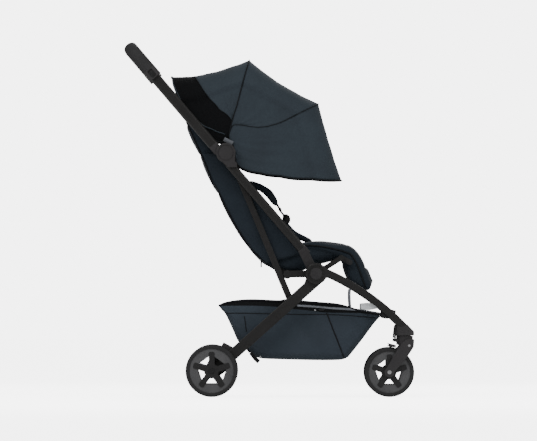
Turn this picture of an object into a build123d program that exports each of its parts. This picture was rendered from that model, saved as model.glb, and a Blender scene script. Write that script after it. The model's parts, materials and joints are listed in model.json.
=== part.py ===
"""Folding baby stroller with a fan canopy, a hanging seat and a basket between its legs.

Millimetres. +X is forward, +Y is the child's left, +Z is up. The origin lies on the
ground, in the middle of the track, below the middle of the overall length.
Paired pieces are drawn on the left side (+Y) and mirrored to the right.
"""

import os
from math import atan2, cos, degrees, hypot, radians, sin

from build123d import *

# The drawing's X at the middle of the overall length
MIDDLE_X = 2.76

# Running gear
REAR_AXLE = (-168.6, 78.0)
REAR_RADIUS = 78.0
FRONT_AXLE = (361.5, 74.0)
FRONT_RADIUS = 74.0
TYRE_DEPTH = 12.0
WHEEL_WIDTH = 24.0
REAR_WHEEL_Y = 218.0
CASTER_Y = 200.0
STEM_X = 409.0
FORK_PIVOT = (420.3, 153.6)
LEVER_PIVOT = (383.0, 208.0)
HUB_BORE = 6.0
HUB_PIN = 7.0
PIVOT_PIN = 4.6
SEAT_BAR_RADIUS = 9.0
CALF_BAR_RADIUS = 5.0
RUNNING_GAP = 0.05
BRAKE_POCKETS = 12
BRAKE_POCKET_RING = 17.0

# Main pivots of the fold, as (x, z)
HUB = (143.1, 367.8)
HANDLE_PIVOT = (-126.6, 728.7)
STRUT_FOOT = (67.2, 286.5)
STRUT_TOP = (-93.6, 673.5)
CANOPY_PIVOT = (-118.0, 765.0)
SEAT_BAR = (57.5, 367.0)
CALF_BAR = (218.0, 415.0)

# Side tubes, one straight line when open
TUBE_START = (-144.6, 728.7)
TUBE_UP = (-0.649, 0.7608)
LOWER_TUBE_DEPTH = 26.5
UPPER_TUBE_DEPTH = 30.0
TUBE_WALL = 1.6
TUBE_WIDTH = 16.0

# Layers across the stroller, as distances from its middle plane
STRUT_Y = (155.0, 163.5)
CRANK_Y = (165.0, 170.0)
ARM_Y = (165.5, 170.5)
TUBE_Y = (172.0, 188.0)
COVER_Y = (188.4, 196.0)
REAR_LEG_Y = (190.0, 204.0)
FRONT_LEG_Y = (206.0, 220.0)
TUBE_MID_Y = sum(TUBE_Y) / 2

# Handle
COLLAR_FROM = 296.0
COLLAR_LENGTH = 33.0
HANDLE_TOP = 427.0
GRIP_DEPTH = 41.0
GRIP_WIDTH = 32.0
HANDLE_CORNER = 48.0

# Soft goods
SEAT_HALF = 146.0
BACK_HALF = 141.0
CANOPY_HALF = 166.0
CANOPY_SKIN = 2.5
CANOPY_CORNER = 70.0
# Each bow's angle above the horizontal, and its reach from the canopy's pivots
CANOPY_BOWS = {
    "rear": (131.5, 252.0),
    "first": (75.8, 248.0),
    "second": (22.6, 289.0),
    "hem": (-19.2, 356.0),
}
BASKET_HALF = 148.0
BASKET_WALL = 3.0


def slab(profile, y_low, y_high):
    """A profile drawn in the X-Z plane, made solid between two distances in Y."""
    return extrude(Plane.XZ.offset(-y_low) * profile, amount=y_low - y_high)


def outline(*points):
    """A closed straight-sided face through (x, z) points."""
    return make_face(Polyline(*points, close=True))


def disc(centre, radius):
    return Pos(*centre) * Circle(radius)


def bar(start, end, width):
    """A straight bar with square ends between two points."""
    length = hypot(end[0] - start[0], end[1] - start[1])
    middle = ((start[0] + end[0]) / 2, (start[1] + end[1]) / 2)
    turn = degrees(atan2(end[1] - start[1], end[0] - start[0]))
    return Pos(*middle) * Rot(0, 0, turn) * Rectangle(length, width)


def link(start, end, width):
    """A bar with a round eye of its own width at both ends."""
    return bar(start, end, width) + disc(start, width / 2) + disc(end, width / 2)


def pin(centre, radius, y_low, y_high):
    return slab(disc(centre, radius), y_low, y_high)


def along_tube(distance, offset=0.0):
    """A point on the side tubes' line, up it from the joint, and forward of it by offset."""
    return (
        TUBE_START[0] + distance * TUBE_UP[0] + offset * TUBE_UP[1],
        TUBE_START[1] + distance * TUBE_UP[1] - offset * TUBE_UP[0],
    )


def polar(centre, radius, angle):
    return (centre[0] + radius * cos(radians(angle)), centre[1] + radius * sin(radians(angle)))


def arc_band(first, middle, last, width):
    """A curved bar of even width whose centreline is the arc through three points."""
    (ax, az), (bx, bz), (cx, cz) = first, middle, last
    twice = 2 * (ax * (bz - cz) + bx * (cz - az) + cx * (az - bz))
    a2, b2, c2 = ax**2 + az**2, bx**2 + bz**2, cx**2 + cz**2
    centre = (
        (a2 * (bz - cz) + b2 * (cz - az) + c2 * (az - bz)) / twice,
        (a2 * (cx - bx) + b2 * (ax - cx) + c2 * (bx - ax)) / twice,
    )
    radius = hypot(ax - centre[0], az - centre[1])

    def pushed(point, amount):
        grow = 1 + amount / radius
        return (centre[0] + (point[0] - centre[0]) * grow, centre[1] + (point[1] - centre[1]) * grow)

    outer = [pushed(point, width / 2) for point in (first, middle, last)]
    inner = [pushed(point, -width / 2) for point in (last, middle, first)]
    edges = [
        ThreePointArc(*outer),
        Line(outer[2], inner[0]),
        ThreePointArc(*inner),
        Line(inner[2], outer[0]),
    ]
    return make_face(Wire(edges))


def soften(solid, radius, pick):
    """Round the edges that pick chooses, or leave the solid as it is where they won't round."""
    edges = pick(solid.edges())
    try:
        rounded = fillet(edges, radius)
        return rounded if rounded.is_valid else solid
    except Exception:
        return solid


def outer_rim(y):
    """Picks the edges that lie in the plane at y."""
    def pick(edges):
        return [e for e in edges if all(abs(v.Y - y) < 0.01 for v in [e @ 0, e @ 0.5, e @ 1])]
    return pick


def tube_line(start, end, depth):
    """A hollow oval side tube between two distances along the tubes' line."""
    (x, z) = along_tube(start)
    section = Plane(origin=(x, TUBE_MID_Y, z), x_dir=(0, 1, 0), z_dir=(TUBE_UP[0], 0, TUBE_UP[1]))
    outer = RectangleRounded(TUBE_WIDTH, depth, TUBE_WIDTH / 2 - 0.5)
    bore = RectangleRounded(
        TUBE_WIDTH - 2 * TUBE_WALL, depth - 2 * TUBE_WALL, TUBE_WIDTH / 2 - 0.5 - TUBE_WALL
    )
    return extrude(section * (outer - bore), amount=end - start)


def save(name, *solids):
    pieces = [piece for solid in solids for piece in solid.solids()]
    shape = Pos(-MIDDLE_X, 0, 0) * (pieces[0] if len(pieces) == 1 else Compound(pieces))
    shape.label = name
    export_step(shape, f"parts/{name}.step")


def save_pair(name, *solids):
    """Left-hand solids and their mirror images in one node."""
    save(name, *solids, *(mirror(solid, about=Plane.XZ) for solid in solids))


def save_each(name, *solids):
    """Left-hand solids in one node and their mirror images in another."""
    save(f"{name}_left", *solids)
    save(f"{name}_right", *(mirror(solid, about=Plane.XZ) for solid in solids))


# ---------------------------------------------------------------- wheels
def tyre(axle, radius, y):
    """A rubber band with rounded shoulders and two grooves round its tread."""
    half = WHEEL_WIDTH / 2
    inner = radius - TYRE_DEPTH
    profile = outline(
        (inner, y - half + 1), (inner, y + half - 1), (inner + 4, y + half), (radius - 5, y + half),
        (radius - 1, y + half - 4), (radius, y + half - 8), (radius, y - half + 8),
        (radius - 1, y - half + 4), (radius - 5, y - half), (inner + 4, y - half),
    )
    for groove in (-3.5, 3.5):
        profile -= Pos(radius, y + groove) * Rectangle(2.4, 1.6)
    ring = revolve(Plane.XY * profile, Axis.Y)
    return Pos(axle[0], 0, axle[1]) * ring


def rim(axle, radius, y):
    """A moulded wheel with a five-sided window and a five-armed star on its outer face."""
    half = WHEEL_WIDTH / 2
    bed = radius - TYRE_DEPTH
    window = RegularPolygon(bed * 0.6, 5, major_radius=False, rotation=90)
    dish = extrude(Plane.XZ.offset(-(y - half + 2)) * (Circle(bed) - window), amount=-(2 * half - 5))
    arm = Pos(0, bed * 0.43) * RectangleRounded(bed * 0.268, bed * 0.86, 5)
    star = Circle(bed * 0.31)
    for n in range(5):
        star += Rot(0, 0, 72 * n) * arm
    star_solid = extrude(Plane.XZ.offset(-(y - half + 4)) * star, amount=-(2 * half - 5.9))
    nave = extrude(Plane.XZ.offset(-(y - half + 1)) * Circle(bed * 0.34), amount=-(2 * half - 5))
    wheel = dish + star_solid + nave
    wheel -= extrude(Plane.XZ.offset(-(y - 2 * half)) * Circle(HUB_BORE + RUNNING_GAP), amount=-4 * half)
    return Pos(axle[0], 0, axle[1]) * wheel


def brake_ring(y_face):
    """Round pockets on the wheel's inner face that the brake pins enter."""
    pockets = []
    for n in range(BRAKE_POCKETS):
        x, z = polar(REAR_AXLE, BRAKE_POCKET_RING, 90 + 360 * n / BRAKE_POCKETS)
        pockets.append(pin((x, z), 3.2, y_face - 1, y_face + 6))
    return pockets


def rear_wheels():
    save_each("rear_tyre", tyre(REAR_AXLE, REAR_RADIUS, REAR_WHEEL_Y))
    wheel = rim(REAR_AXLE, REAR_RADIUS, REAR_WHEEL_Y)
    for pocket in brake_ring(REAR_WHEEL_Y - WHEEL_WIDTH / 2 + 1):
        wheel -= pocket
    save_each("rear_rim", wheel)


def front_wheels():
    save_each("front_tyre", tyre(FRONT_AXLE, FRONT_RADIUS, CASTER_Y))
    save_each("front_rim", rim(FRONT_AXLE, FRONT_RADIUS, CASTER_Y))


# ---------------------------------------------------------------- rear legs
def rear_legs():
    low, high = REAR_LEG_Y
    foot = (-150.0, 86.6)
    head = (152.8, 356.9)
    shoulder = outline(HUB, (119.1, 367.8), (107, 335), (146, 335), (167.1, 367.8))
    leg = bar(foot, head, 33) + disc(HUB, 24) + shoulder
    eye = disc(HUB, HUB_PIN + RUNNING_GAP)
    solid = slab(leg - eye, low, high) - pin(STRUT_FOOT, 5, low - 1, high - 4)
    solid = soften(solid, 2.5, outer_rim(high))
    fitting = outline(
        (-134.7, 162), (-109, 148.5), (-90.6, 119), (-97, 111), (-130, 74), (-152, 58),
        (-182, 58), (-193, 80), (-176, 112), (-150, 134),
    )
    end = slab(fitting, 172, low - 0.01) + slab(disc(REAR_AXLE, 21), low - 0.01, 204.5)
    end -= slab(disc(REAR_AXLE, HUB_BORE + RUNNING_GAP), 170, 206)
    end -= pin(polar(REAR_AXLE, BRAKE_POCKET_RING, 90), 2.55, 180, 206)
    leg_solid = solid - slab(disc(REAR_AXLE, 21.2), low - 1, high + 1)
    save_pair("rear_legs", leg_solid)
    save_pair("rear_leg_feet", soften(end, 2, outer_rim(172)))
    cap = soften(pin(REAR_AXLE, 9, REAR_WHEEL_Y + 10.2, REAR_WHEEL_Y + 12), 1, outer_rim(REAR_WHEEL_Y + 12))
    axle = pin(REAR_AXLE, HUB_BORE, -REAR_WHEEL_Y - 10.3, REAR_WHEEL_Y + 10.3)
    axle = axle + cap + mirror(cap, about=Plane.XZ)
    foot_pin = pin(STRUT_FOOT, 4.95, 153, high - 4.2) + pin(STRUT_FOOT, 9, 151, 154.6)
    save("rear_leg_pins", axle, foot_pin, mirror(foot_pin, about=Plane.XZ))
    sleeve = pin(REAR_AXLE, 10, -171.9, 171.9) - pin(REAR_AXLE, HUB_BORE + 0.5, -173, 173)
    save("rear_axle_tube", sleeve)


def brake():
    """A foot pedal on the axle tube, which pushes a pin into each wheel."""
    x, z = REAR_AXLE
    arm = disc(REAR_AXLE, 15) + bar((x, z), (x - 48, z + 16), 15)
    pedal = slab(arm, -30, 30)
    tread = slab(bar((x - 30, z + 12), (x - 66, z + 22), 9), -42, 42)
    pedal = pedal + tread - pin(REAR_AXLE, 10 + RUNNING_GAP, -50, 50)
    save("brake_pedal", soften(pedal, 3, lambda edges: edges.filter_by(Axis.Y)))
    spot = polar(REAR_AXLE, BRAKE_POCKET_RING, 90)
    save_each("brake_pin", pin(spot, 2.5, 186, 204.8))


# ---------------------------------------------------------------- front legs
def front_legs():
    low, high = FRONT_LEG_Y
    curve = arc_band((150, 381), (290, 307), (405, 209), 22.5)
    leg = slab(curve + disc(HUB, 32), low, high)

    def hub_corners(edges):
        return [
            e for e in edges.filter_by(Axis.Y)
            if abs(hypot(e.center().X - HUB[0], e.center().Z - HUB[1]) - 32) < 2
        ]

    leg = soften(leg, 9, hub_corners)
    leg = soften(leg, 3, outer_rim(high))
    leg -= slab(disc(HUB, 24.5) - disc(HUB, 18.5), high - 1.6, high + 1)
    leg -= pin(HUB, HUB_PIN + RUNNING_GAP, low - 1, high - 5)
    housing = Pos(408, CASTER_Y, 200.5) * Box(54, 40, 33)
    housing = fillet(housing.edges().filter_by(Axis.Z), 12)
    housing = fillet(housing.faces().sort_by(Axis.Z)[-1].edges(), 7)
    above = outline((411, 220.8), (440, 190.3), (440, 230), (411, 230))
    housing -= slab(above, CASTER_Y - 30, CASTER_Y + 30)
    bore = Pos(STEM_X, CASTER_Y, 197) * Cylinder(7 + RUNNING_GAP, 32)
    save_pair("front_legs", leg - housing)
    slot = Pos(382, CASTER_Y, 197) * Box(11, 19, 40)
    save_pair("stem_housings", housing - bore - slot)
    step = outline((276, 262), (300, 259), (326, 264), (326, 277), (300, 281), (276, 279))
    plate = slab(step, -205.5, 205.5)
    save("foot_crossbar", soften(plate, 3, lambda edges: edges.filter_by(Axis.Y)))
    clip = slab(outline((337, 240), (356, 233), (367, 240), (367, 250), (340, 256)), 196, 205.6)
    stop = slab(outline((366, 244), (379, 243), (381, 258), (368, 261)), 196, 205.6)
    save_pair("leg_clips", clip, stop)
    save_pair("hub_caps", soften(pin(HUB, 18, high + 0.05, high + 1.6), 0.8, outer_rim(high + 1.6)))


def lock_levers():
    """Ribbed levers behind the stem housings that hold the front wheels straight."""
    lever = outline(
        (380.5, 214), (384.5, 214), (385.5, 207), (381.5, 191), (380.5, 175), (375.5, 175),
        (377, 191), (378.5, 205),
    )
    solid = slab(lever, CASTER_Y - 8, CASTER_Y + 8)
    for n in range(4):
        solid += slab(disc((376.6 + 0.45 * n, 179 + 5 * n), 1.1), CASTER_Y - 6.5, CASTER_Y + 6.5)
    barrel = pin(LEVER_PIVOT, 3, CASTER_Y - 9.4, CASTER_Y + 9.4)
    save_each("lock_lever", solid + barrel)


# ---------------------------------------------------------------- front wheel units
def casters():
    head = Pos(STEM_X, CASTER_Y, 168.8) * Cylinder(22.5, 28.8)
    head += slab(disc(FORK_PIVOT, 12), CASTER_Y - 17, CASTER_Y + 17)
    head &= Pos(STEM_X + 2, CASTER_Y, 168) * Box(50, 34, 30.4)
    catch = Pos(383, CASTER_Y, 169) * Box(15, 14, 9)
    head = head + catch - pin(FORK_PIVOT, 4 + RUNNING_GAP, CASTER_Y - 30, CASTER_Y + 30)
    kingpin = Pos(STEM_X, CASTER_Y, 196) * Cylinder(7, 30)
    save_each("swivel_head", head + kingpin)


def forks():
    """Trailing forks on a cross pin, each with a rubber block behind it as its spring."""
    inner, outer = CASTER_Y - 13.5, CASTER_Y + 13.5
    arm = make_face(Polyline(
        (346.5, 75), (387, 146), (393.6, 152), (398, 162), (413, 172), (434, 172.8), (435.6, 170),
        (433.5, 150), (428, 140), (413, 118), (376.5, 75), close=True,
    )) + disc(FRONT_AXLE, 15)
    side = slab(arm, outer + 3.8, outer + 9.5)
    side = soften(side, 2, outer_rim(outer + 9.5))
    other = slab(arm, inner - 9.5, inner - 3.8)
    web = outline((386, 141), (393.6, 152), (400, 151.8), (402, 149), (396, 140))
    bridge = slab(web, inner - 4, outer + 4)
    bridge -= pin(FRONT_AXLE, FRONT_RADIUS + 1.5, 150, 250)
    fork = side + other + bridge
    fork -= pin(FRONT_AXLE, HUB_BORE, 150, 250)
    fork -= pin(FORK_PIVOT, 4, 150, 250)
    axle = pin(FRONT_AXLE, HUB_BORE, inner - 9.5, outer + 9.5)
    cross_pin = pin(FORK_PIVOT, 4, inner - 9.5, outer + 9.5)
    save_each("fork", fork, fender())
    save_each("fork_bolts", axle, cross_pin)


def fender():
    """A short mudguard over the front tyre, clipped to its fork."""
    shell = disc(FRONT_AXLE, FRONT_RADIUS + 5.5) - disc(FRONT_AXLE, FRONT_RADIUS + 1.6)
    wedge = outline(FRONT_AXLE, polar(FRONT_AXLE, 130, 91), polar(FRONT_AXLE, 130, 76))
    beak = outline((358.5, 160), (382, 154.5), (380, 150), (366, 151.5))
    body = slab((shell & wedge) + beak, CASTER_Y - 15, CASTER_Y + 15)
    return body - pin(FRONT_AXLE, FRONT_RADIUS + 1.6, 150, 250)


# ---------------------------------------------------------------- main frame
def side_tubes():
    save_pair("lower_tubes", tube_line(-376, -42, LOWER_TUBE_DEPTH))
    save_pair("tube_fittings", lower_knuckle(), hub_socket())


def lower_knuckle():
    """The inner half of the handle joint, on the top end of a lower tube."""
    neck = bar(along_tube(-41.9), along_tube(-4), LOWER_TUBE_DEPTH - 1)
    solid = slab(disc(HANDLE_PIVOT, 27) + neck, TUBE_Y[0], TUBE_MID_Y - 0.2)
    return solid - pin(HANDLE_PIVOT, PIVOT_PIN, 150, 200)


def upper_knuckle():
    """The outer half of the handle joint, on the bottom end of an upper tube."""
    neck = bar(along_tube(30.9), along_tube(4), UPPER_TUBE_DEPTH - 1)
    solid = slab(disc(HANDLE_PIVOT, 27) + neck, TUBE_MID_Y + 0.2, TUBE_Y[1])
    return solid - pin(HANDLE_PIVOT, PIVOT_PIN + RUNNING_GAP, 150, 200)


def hub_socket():
    """The fitting on the bottom end of a lower tube, with an eye for the hub pin."""
    neck = bar(along_tube(-376.1), along_tube(-400), LOWER_TUBE_DEPTH + 2)
    neck += bar(along_tube(-381), polar(HUB, 20, 128), LOWER_TUBE_DEPTH + 2)
    solid = slab(disc(HUB, 30) + neck, *TUBE_Y) - pin(HUB, HUB_PIN, 150, 200)
    return soften(solid, 2, outer_rim(TUBE_Y[1]))


def joint_covers():
    tail = outline(
        (-120.6, 685), (-93.6, 685), (-92.5, 697), (-99, 704), (-98, 722), (-126.6, 728.7), (-154, 718),
    )
    cover = slab(disc(HANDLE_PIVOT, 29.5) + tail, *COVER_Y)
    cover = soften(cover, 2.2, outer_rim(COVER_Y[1]))
    cover -= slab(disc(HANDLE_PIVOT, 23.5) - disc(HANDLE_PIVOT, 21), COVER_Y[1] - 1.2, COVER_Y[1] + 1)
    save_pair("joint_covers", cover - pin(HANDLE_PIVOT, PIVOT_PIN, COVER_Y[0] - 1, COVER_Y[0] + 2))


def handle_cranks():
    """Plates on the handle joint that push the struts as the handle folds."""
    plate = slab(link(HANDLE_PIVOT, STRUT_TOP, 22), *CRANK_Y)
    plate -= pin(HANDLE_PIVOT, PIVOT_PIN + RUNNING_GAP, 150, 200)
    save_pair("handle_cranks", plate + pin(STRUT_TOP, 5, CRANK_Y[0] - 1.1, CRANK_Y[0]))


def seat_arms():
    """Inner brackets on the hub pins that carry the cross tubes under the seat."""
    rear = bar(HUB, SEAT_BAR, 20) + disc(SEAT_BAR, 12)
    front = bar(HUB, CALF_BAR, 15) + disc(CALF_BAR, 9)
    plate = slab(rear + front + disc(HUB, 15), *ARM_Y) - pin(HUB, HUB_PIN, 150, 200)
    end = ARM_Y[1] - 2
    plate -= pin(SEAT_BAR, SEAT_BAR_RADIUS, 150, end)
    plate -= pin(CALF_BAR, CALF_BAR_RADIUS, 150, end)
    save_pair("seat_arms", plate)
    save(
        "seat_cross_tubes",
        pin(SEAT_BAR, SEAT_BAR_RADIUS, -end, end),
        pin(CALF_BAR, CALF_BAR_RADIUS, -end, end),
    )


def pivot_pins():
    save_pair(
        "pivot_pins",
        pin(HANDLE_PIVOT, PIVOT_PIN, 149.6, COVER_Y[0] + 2),
        pin(HUB, HUB_PIN, ARM_Y[0], FRONT_LEG_Y[1] - 5.2),
    )


def struts():
    body = link(STRUT_FOOT, STRUT_TOP, 19)
    solid = slab(body, *STRUT_Y) - pin(STRUT_FOOT, 5, 150, 170)
    save_pair("struts", soften(solid, 1.5, outer_rim(STRUT_Y[1])))


def canopy_mounts():
    plate = slab(link(HANDLE_PIVOT, CANOPY_PIVOT, 18), 149.6, 154.4)
    plate -= pin(HANDLE_PIVOT, PIVOT_PIN, 149, 160)
    axis = pin(CANOPY_PIVOT, 3.5, 132, 161.5)
    save_pair("canopy_mounts", plate + axis)


# ---------------------------------------------------------------- handle
def handle_path(y):
    """The run of the handle from one collar, across the top and down to the other."""
    top = HANDLE_TOP - GRIP_WIDTH / 2
    bend = HANDLE_CORNER
    low = COLLAR_FROM + COLLAR_LENGTH

    def at(distance, across):
        x, z = along_tube(distance)
        return Vector(x, across, z)

    swing = bend * (1 - cos(radians(45)))
    left_arc = ThreePointArc(at(top - bend, y), at(top - swing, y - swing), at(top, y - bend))
    right_arc = ThreePointArc(at(top, bend - y), at(top - swing, swing - y), at(top - bend, -y))
    return Wire([
        Line(at(low, y), at(top - bend, y)),
        left_arc,
        Line(at(top, y - bend), at(top, bend - y)),
        right_arc,
        Line(at(top - bend, -y), at(low, -y)),
    ])


def handle():
    y = TUBE_MID_Y
    x, z = along_tube(COLLAR_FROM + COLLAR_LENGTH)
    section = Plane(origin=(x, y, z), x_dir=(0, 1, 0), z_dir=(TUBE_UP[0], 0, TUBE_UP[1]))
    path = handle_path(y)
    grip = sweep(section * Ellipse(GRIP_WIDTH / 2, GRIP_DEPTH / 2), path=path)
    core = sweep(section * Ellipse(8, 13), path=path)
    save("handle_grip", grip - sweep(section * Ellipse(8.15, 13.15), path=path))
    tube = tube_line(31, COLLAR_FROM + COLLAR_LENGTH - 1, UPPER_TUBE_DEPTH)
    save("handle_tubes", core, tube, mirror(tube, about=Plane.XZ))
    x, z = along_tube(COLLAR_FROM)
    section = Plane(origin=(x, y, z), x_dir=(0, 1, 0), z_dir=(TUBE_UP[0], 0, TUBE_UP[1]))
    hole = RectangleRounded(TUBE_WIDTH + 0.3, UPPER_TUBE_DEPTH + 0.3, TUBE_WIDTH / 2 - 0.4)
    collar = extrude(section * RectangleRounded(GRIP_WIDTH, GRIP_DEPTH + 1, 14), amount=COLLAR_LENGTH - 0.1)
    collar -= extrude(section * hole, amount=COLLAR_LENGTH)
    centre = along_tube(COLLAR_FROM + COLLAR_LENGTH / 2)
    turn = degrees(atan2(TUBE_UP[1], TUBE_UP[0]))
    face = y + GRIP_WIDTH / 2
    pocket = Pos(*centre) * Rot(0, 0, turn) * RectangleRounded(24.4, 16.4, 4)
    collar -= slab(pocket, face - 3.6, face + 2)
    save_pair("handle_fittings", collar, upper_knuckle())
    low = along_tube(COLLAR_FROM + COLLAR_LENGTH / 2 - 2.9)
    key = Pos(*low) * Rot(0, 0, turn) * RectangleRounded(18, 16, 3.8)
    button = slab(key, face - 3.4, face + 1.4)
    button = soften(button, 1, outer_rim(face + 1.4))
    for n in (-1, 0, 1):
        spot = along_tube(COLLAR_FROM + COLLAR_LENGTH / 2 - 2.9 + 4 * n)
        button += slab(Pos(*spot) * Rot(0, 0, turn) * Rectangle(1.4, 11), face + 1.3, face + 2)
    save_each("fold_button", button)


# ---------------------------------------------------------------- seat
SEAT_BACK_REAR = [
    (-245, 822), (-221, 769.5), (-187.5, 693), (-164, 631), (-140, 592.5), (-100.5, 515),
    (-56, 445.5), (-26, 418), (-1, 398),
]
BACK_THICK = 30.0


def seat():
    pan = outline(
        (24, 409), (44, 399), (80, 393), (123, 399), (148, 409), (200, 424), (206, 430), (196, 455),
        (180, 457), (132, 458), (70, 446), (24, 432),
    )
    cushion = slab(pan, -SEAT_HALF, SEAT_HALF)
    save("seat_cushion", soften(cushion, 6, lambda edges: edges.filter_by(Axis.Y)))
    front = [(x + BACK_THICK * 0.88, z + BACK_THICK * 0.45) for x, z in reversed(SEAT_BACK_REAR[:-1])]
    front = [(x, z) for x, z in front if z > 440]
    back = outline(*SEAT_BACK_REAR, (17, 408), (14, 432), *front)
    save("backrest_pad", slab(back, -BACK_HALF, BACK_HALF))
    lug = bar((2, 400), SEAT_BAR, 18) + disc(SEAT_BAR, 14) - disc(SEAT_BAR, SEAT_BAR_RADIUS + RUNNING_GAP)
    lugs = slab(lug, 118, 130) - slab(back, 100, BACK_HALF)
    save_pair("backrest_hinges", lugs)
    wing = outline(
        (-112, 560), (-176, 700), (-196, 762), (-150, 735), (-118, 690), (-60, 620), (20, 530),
        (70, 470), (24, 440), (-20, 450), (-60, 490),
    )
    save_pair("side_wings", slab(wing, 147.2, 149.4))


def calf_rest():
    pad = outline(
        (232, 424), (246, 449), (262, 434), (276, 414), (288, 388), (297, 359), (306.6, 342), (305, 314),
        (288, 320), (239, 351), (229, 385), (226, 404),
    )
    pad -= disc(CALF_BAR, 14)
    save("calf_pad", slab(pad, -SEAT_HALF, SEAT_HALF))
    lug = link(CALF_BAR, (244, 402), 16) - disc(CALF_BAR, CALF_BAR_RADIUS + RUNNING_GAP)
    save_pair("calf_hinges", slab(lug, 147, 154))


def harness():
    pads = outline(
        (-58.5, 648), (-25, 638), (-2, 625), (12, 615), (25.5, 593), (29, 575), (12, 580),
        (-8, 600), (-34, 620), (-66, 632),
    )
    strap = outline((-112, 660), (-66, 644), (-64, 641), (-112, 656))
    lower = outline((24, 577), (41, 550), (44, 547), (47, 549), (30, 578), (28, 581))
    save_pair("shoulder_straps", slab(pads, 48, 92), slab(strap, 60, 84), slab(lower, 34, 58))
    shell = slab(outline((42, 520), (64.5, 520), (64.5, 541), (57, 547), (44, 547)), -30, 30)
    well = slab(outline((59, 524), (70, 524), (70, 538), (59, 538)), -9, 9)
    save("harness_buckle", shell - well)
    button = outline((61.6, 524.3), (66.5, 524.3), (66.5, 537.7), (61.6, 537.7))
    save("buckle_button", slab(button, -8.7, 8.7))
    crotch = outline(
        (50, 519.8), (58, 519.8), (72, 500), (96, 486), (128, 470), (128, 462), (88, 476), (62, 494),
    )
    waist = outline((50, 541), (56, 541), (56, 523), (50, 523))
    hip = slab(waist, 30.2, 120)
    save("lap_straps", slab(crotch, -19, 19), hip, mirror(hip, about=Plane.XZ))


# ---------------------------------------------------------------- canopy
def bow_face(angle, radius, half, skin, corner, inner_end):
    """A bow's cross-section: up one side, round the shoulder and across the top."""
    plane = Plane(
        origin=(CANOPY_PIVOT[0], 0, CANOPY_PIVOT[1]),
        x_dir=(cos(radians(angle)), 0, sin(radians(angle))),
        z_dir=(sin(radians(angle)), 0, -cos(radians(angle))),
    )

    def shape(reach, across, bend):
        high = reach - bend
        knee = bend * sin(radians(45))
        return [
            Line((inner_end, -across), (high, -across)),
            ThreePointArc((high, -across), (high + knee, -across + bend - knee), (reach, -across + bend)),
            Line((reach, -across + bend), (reach, across - bend)),
            ThreePointArc((reach, across - bend), (high + knee, across - bend + knee), (high, across)),
            Line((high, across), (inner_end, across)),
        ]

    outside = shape(radius, half, corner)
    inside = shape(radius - skin, half - skin, corner - skin)
    ends = [Line((inner_end, s * half), (inner_end, s * (half - skin))) for s in (-1, 1)]
    return plane * make_face(Wire([*outside, *inside, *ends]))


def canopy_panel(first, second):
    faces = [
        bow_face(*CANOPY_BOWS[name], CANOPY_HALF, CANOPY_SKIN, CANOPY_CORNER, 16)
        for name in (first, second)
    ]
    return loft(faces, ruled=True)


def canopy():
    rear_flap = outline(
        polar(CANOPY_PIVOT, 16, 131.5), (-142, 782), (-184, 803), (-226, 841), (-260, 883), (-279, 925),
        polar(CANOPY_PIVOT, 236, 131.5),
    )
    front_flap = outline(
        polar(CANOPY_PIVOT, 16, -19.2), (-103, 742), (-99, 707), (-88, 688), (-65, 676.5),
        (-27, 669), (31, 661),
        (126, 652), polar(CANOPY_PIVOT, 350, -19.2),
    )
    rear_sides = slab(rear_flap, CANOPY_HALF - CANOPY_SKIN, CANOPY_HALF)
    front_sides = slab(front_flap, CANOPY_HALF - CANOPY_SKIN, CANOPY_HALF)
    save("canopy_rear", canopy_panel("first", "rear") + rear_sides + mirror(rear_sides, about=Plane.XZ))
    save("canopy_front", canopy_panel("second", "first"))
    save("canopy_visor", canopy_panel("hem", "second") + front_sides + mirror(front_sides, about=Plane.XZ))
    halves = {"rear": 138.0, "first": 161.0, "second": 149.2, "hem": 143.6}
    for name, half in halves.items():
        angle, reach = CANOPY_BOWS[name]
        flat = bow_face(angle, reach - CANOPY_SKIN - 2.6, half, 5, 70, 0)
        rod = extrude(flat, amount=2.5, both=True)
        for side in (-1, 1):
            low, high = sorted((side * half, side * (half - 5)))
            eye = disc(CANOPY_PIVOT, 8) - disc(CANOPY_PIVOT, 3.5 + RUNNING_GAP)
            rod -= pin(CANOPY_PIVOT, 7.5, low - 1, high + 1)
            rod += slab(eye, low, high)
        save(f"canopy_bow_{name}", rod)


# ---------------------------------------------------------------- basket
BASKET_SIDE = [
    (-146, 272), (-125, 281), (-89, 287), (-43, 289), (53, 289), (93, 285), (200, 277), (240, 268),
    (274, 257), (334, 246), (334, 239), (316, 220.5), (243.6, 126), (236, 117), (226, 112.5),
    (155, 110.4), (21, 114.6), (-14, 104), (-35, 108), (-89, 166), (-127.5, 247),
]


def basket():
    outer = slab(outline(*BASKET_SIDE), -BASKET_HALF, BASKET_HALF)
    hollow = outline(
        (-141, 300), (-122, 247), (-85, 168), (-33, 112), (-14, 107.5), (21, 118), (155, 113.6), (225, 116),
        (234, 121), (241, 128.5), (313, 222.5), (329, 242), (329, 300),
    )
    inner = slab(hollow, -BASKET_HALF + BASKET_WALL, BASKET_HALF - BASKET_WALL)
    save("basket", outer - inner)


os.makedirs("parts", exist_ok=True)
rear_wheels()
front_wheels()
rear_legs()
brake()
front_legs()
lock_levers()
casters()
forks()
side_tubes()
joint_covers()
seat_arms()
pivot_pins()
struts()
canopy_mounts()
handle_cranks()
handle()
seat()
calf_rest()
harness()
canopy()
basket()
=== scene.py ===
import json
from math import cos, pi, radians, sin

import bmesh
import bpy
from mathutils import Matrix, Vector, noise


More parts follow.
